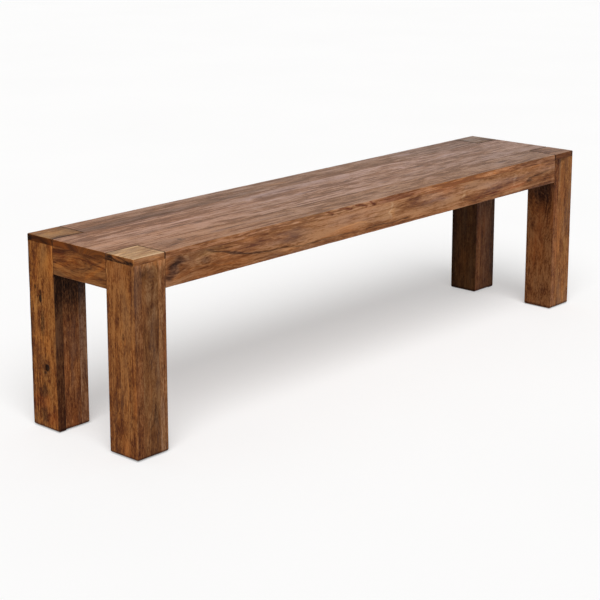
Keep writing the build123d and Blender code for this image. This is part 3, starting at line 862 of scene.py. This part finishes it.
def edge_radius(foot, sides, shown, joined):
    """How far an edge between two sides is rounded; foot is for a leg's bottom edges."""
    if all(side in shown for side in sides):
        return foot if foot and (2, -1) in sides else EDGE_ARRIS
    if any(side in shown for side in sides):
        pairs = {pair for axis, sign, pair in joined if (axis, sign) in sides}
        return EDGE_CAP if ("cap", "seat") in pairs else EDGE_SEAM
    return EDGE_SEAM / 2


def section(low, high, rounding):
    """A rectangle's outline with each corner rounded, as EDGE_STEPS + 1 points a corner."""
    points = []
    for quarter, (sign_v, sign_w) in enumerate(((1, 1), (-1, 1), (-1, -1), (1, -1))):
        radius = rounding[(sign_v, sign_w)]
        middle_v = (high if sign_v > 0 else low)[0] - sign_v * radius
        middle_w = (high if sign_w > 0 else low)[1] - sign_w * radius
        for step in range(EDGE_STEPS + 1):
            turn = math.radians(90 * (quarter + step / EDGE_STEPS))
            points.append((middle_v + radius * math.cos(turn), middle_w + radius * math.sin(turn)))
    return points


def rounded_box(name, joined, shown):
    """A board's box, each edge rounded by its own radius: outlines in a row along the grain."""
    low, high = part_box(name)
    along, *cross = grain_axes(name)
    foot = EDGE_FEET.get(name.split("_board_")[0], EDGE_FOOT) if kind_of(name) == "leg" else None
    rounding = {
        signs: edge_radius(foot, tuple(zip(cross, signs)), shown, joined)
        for signs in itertools.product((-1, 1), repeat=2)
    }
    sides = [(axis, sign) for axis in cross for sign in (-1, 1)]
    ends = {
        sign: {side: edge_radius(foot, ((along, sign), side), shown, joined) for side in sides}
        for sign in (-1, 1)
    }
    stops = {-1: low[along], 1: high[along]}
    turns = [1 - math.cos(math.radians(90 * step / EDGE_STEPS)) for step in range(EDGE_STEPS + 1)]
    rows = {
        round(stops[sign] - sign * radius * turn, 6)
        for sign, radii in ends.items() for radius in radii.values() for turn in turns
    }
    first, last = low[along] + EDGE_FOOT, high[along] - EDGE_FOOT
    count = max(2, round((last - first) / STATION))
    rows |= {round(first + (last - first) * k / count, 6) for k in range(count + 1)}
    loops = []
    bm = bmesh.new()
    for row in sorted(rows):
        inset = dict.fromkeys(sides, 0.0)
        for sign, radii in ends.items():
            inward = abs(stops[sign] - row)
            for side, radius in radii.items():
                if inward < radius:
                    inset[side] = radius - math.sqrt(max(radius ** 2 - (radius - inward) ** 2, 0.0))
        least = [low[axis] + inset[(axis, -1)] for axis in cross]
        most = [high[axis] - inset[(axis, 1)] for axis in cross]
        loop = []
        for across, through in section(least, most, rounding):
            place = [0.0, 0.0, 0.0]
            place[along], place[cross[0]], place[cross[1]] = row, across, through
            loop.append(bm.verts.new(place))
        loops.append(loop)
    for one, other in itertools.pairwise(loops):
        for k in range(len(one)):
            bm.faces.new((one[k - 1], one[k], other[k], other[k - 1]))
    bm.faces.new(loops[0])
    bm.faces.new(loops[-1])
    bmesh.ops.recalc_face_normals(bm, faces=bm.faces)
    return bm


def pits(name):
    """Each hole as (axis looked along, its side, the face's axes, middle and reach along them)."""
    return [
        (*FACE_SIDE[face], FACE_AXES[face], bench_place(face, s, t), (rs * MM, rt * MM))
        for face, (_, _, s, t, rs, rt) in marks_of(HOLES, name)
    ]


def cut(bm, axis, place):
    normal, point = Vector((0.0, 0.0, 0.0)), Vector((0.0, 0.0, 0.0))
    normal[axis], point[axis] = 1.0, place
    everything = bm.verts[:] + bm.edges[:] + bm.faces[:]
    bmesh.ops.bisect_plane(bm, geom=everything, dist=1e-6, plane_co=point, plane_no=normal)


def wear(place, box, edges, seed):
    """Rubs a place in where it lies on a shown arris, more in some stretches than in others."""
    moved = Vector(place)
    for first, second, reach in edges:
        gaps = [abs(box[(sign + 1) // 2][axis] - place[axis]) for axis, sign in (first, second)]
        if max(gaps) > reach:
            continue
        along = place[3 - first[0] - second[0]]
        rub = noise.noise(Vector((along * WEAR_RATE, seed, first[0] + 2.3 * second[1])))
        finer = Vector((along * WEAR_RATE * WEAR_FINER, seed + 7.0, second[0] * 1.7))
        rub += 0.5 * noise.noise(finer)
        depth = max(rub, 0.0) * WEAR_DEPTH * (1.0 - max(gaps) / reach)
        for axis, sign in (first, second):
            moved[axis] -= sign * depth
    return moved


def make_board(name):
    box, leg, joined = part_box(name), kind_of(name) == "leg", seams(name)
    shown = shown_sides(name, joined)
    bm = rounded_box(name, joined, shown)
    holes = pits(name)
    for _, _, axes, middle, reach in holes:
        for axis, centre, wide in zip(axes, middle, reach):
            for share in PIT_RINGS:
                cut(bm, axis, centre + wide * share)
    edges = []
    for first, second in itertools.combinations(sorted(shown), 2):
        if first[0] != second[0]:
            foot = leg and (2, -1) in (first, second)
            edges.append((first, second, FOOT_WEAR_REACH if foot else WEAR_REACH))
    seed = WEAR_SEED * sorted(nodes).index(name)
    if leg:
        seed = LEG_WEAR_SEED * len(name.split("_board_")[0]) + name.count("left")
    for vert in bm.verts:
        moved = wear(vert.co, box, edges, seed)
        for axis, side, axes, middle, reach in holes:
            far = math.hypot(*((vert.co[a] - m) / r for a, m, r in zip(axes, middle, reach)))
            if far < 1.0 and abs(vert.co[axis] - box[(side + 1) // 2][axis]) < MM / 10:
                moved[axis] -= side * PIT_SHARE * min(reach) * (1.0 - far * far)
        vert.co = moved
    mesh = bpy.data.meshes.new(name + "_plank")
    bm.to_mesh(mesh)
    bm.free()
    for face in mesh.polygons:
        face.use_smooth = True
    piece = new_object(name + "_plank", mesh)
    piece.modifiers.new("even shading", "WEIGHTED_NORMAL").keep_sharp = True
    mesh.materials.append(wood_material(name))
    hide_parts(name)
    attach(piece, "root")


# Dowels, screws and glides

SMALL_STEP, SMALL_RUB, SMALL_RUB_STEP = (-0.20, 0.20), (55.0, 55.0), (0.06, 0.20)
SMALL_RELIEF, SMALL_DEPTH = 0.3, 0.2 * MM


def small_material(name, light, dark, rate, **constants):
    """A material mottled between two colours, with a fine bump and a few rubbed patches."""
    material, net, shader = new_material(name, **constants)
    place = net.add("TexCoord", {}, "Object")
    mottle = net.noise(place, (rate, rate), 3.0, 0.6)
    fine = net.noise(place, (4 * rate, 4 * rate), 2.0, 0.6)
    rub = net.step(net.noise(place, SMALL_RUB), *SMALL_RUB_STEP)
    colour = net.mix(rgb(dark), rgb(light), net.step(mottle + fine * 0.5, *SMALL_STEP))
    net.feed(shader["Base Color"], net.mix(colour, rgb(light, 1.25), rub * 0.5))
    net.feed(shader["Roughness"], mottle * 0.25 - rub * 0.08 + constants["Roughness"])
    add_bump(net, shader, fine, SMALL_RELIEF, SMALL_DEPTH)
    return material


BEECH = small_material("beech", (0.52, 0.35, 0.20), (0.38, 0.23, 0.12), 320.0,
                       Roughness=0.62, Specular_IOR_Level=0.3)
ZINC = small_material("zinc", (0.66, 0.65, 0.60), (0.40, 0.40, 0.39), 420.0,
                      Roughness=0.38, Metallic=1.0)
PLASTIC = small_material("glide_plastic", (0.085, 0.070, 0.060), (0.040, 0.032, 0.028), 240.0,
                         Roughness=0.48, Specular_IOR_Level=0.5)

for name in sorted(nodes):
    if kind_of(name) != "inner":
        make_board(name)
    elif name.endswith("dowels"):
        dress(name, BEECH)
    elif name.endswith("screws"):
        dress(name, ZINC)
    elif name == "foot_glides":
        dress(name, PLASTIC)
    else:
        dress(name, wood_material(name))


# Camera, floor and light

def set_camera():
    data = bpy.data.cameras.new("camera")
    data.sensor_width, data.lens = CAMERA_SENSOR, CAMERA_LENS
    data.shift_y, data.clip_end = CAMERA_SHIFT, CAMERA_FAR
    camera = new_object("camera", data)
    camera.location = CAMERA_PLACE
    camera.rotation_euler = (math.radians(90 - CAMERA_PITCH), 0, math.radians(-CAMERA_YAW))
    bpy.context.scene.camera = camera


def set_light():
    data = bpy.data.lights.new("key", "SUN")
    data.energy, data.angle = KEY_STRENGTH, math.radians(KEY_SPREAD)
    lamp = new_object("key", data)
    lamp.rotation_euler = Vector(KEY_FROM).to_track_quat("Z", "Y").to_euler()

    scene = bpy.context.scene
    scene.world = bpy.data.worlds.new("studio")
    scene.world.use_nodes = True
    net = Net(scene.world.node_tree)
    aim = net.add("TexCoord", {}, "Generated")
    ahead = net.vector("DOT_PRODUCT", aim, WALL_SIDE, output="Value")
    wall = net.step(net.split(aim)[2], *WALL_TOP) * net.step(ahead, *WALL_EDGE)
    background = net.tree.nodes["Background"]
    background.inputs["Color"].default_value = rgb(SKY_COLOUR)
    net.feed(background.inputs["Strength"], wall * (WALL_GLOW - SKY_GLOW) + SKY_GLOW)
    scene.view_settings.view_transform = "Standard"
    scene.view_settings.look = "None"


def set_floor():
    mesh = bpy.data.meshes.new("floor")
    far = FLOOR_REACH
    corners = [(-far, -far, 0), (far, -far, 0), (far, far, 0), (-far, far, 0)]
    mesh.from_pydata(corners, [], [(0, 1, 2, 3)])
    floor = new_object("floor", mesh)
    material, net, shader = new_material(
        "floor", Emission_Color=rgb(WHITE), Emission_Strength=FLOOR_GLOW,
        Roughness=FLOOR_ROUGHNESS, Specular_IOR_Level=0.0)
    cloud = net.noise(net.add("TexCoord", {}, "Object"), FLOOR_CLOUDS, 3.0) + 0.5
    colour = net.mix(rgb(WHITE, FLOOR_DARK), rgb(WHITE, FLOOR_LIGHT), cloud)
    net.feed(shader["Base Color"], colour)
    mesh.materials.append(material)


set_camera()
set_light()
set_floor()
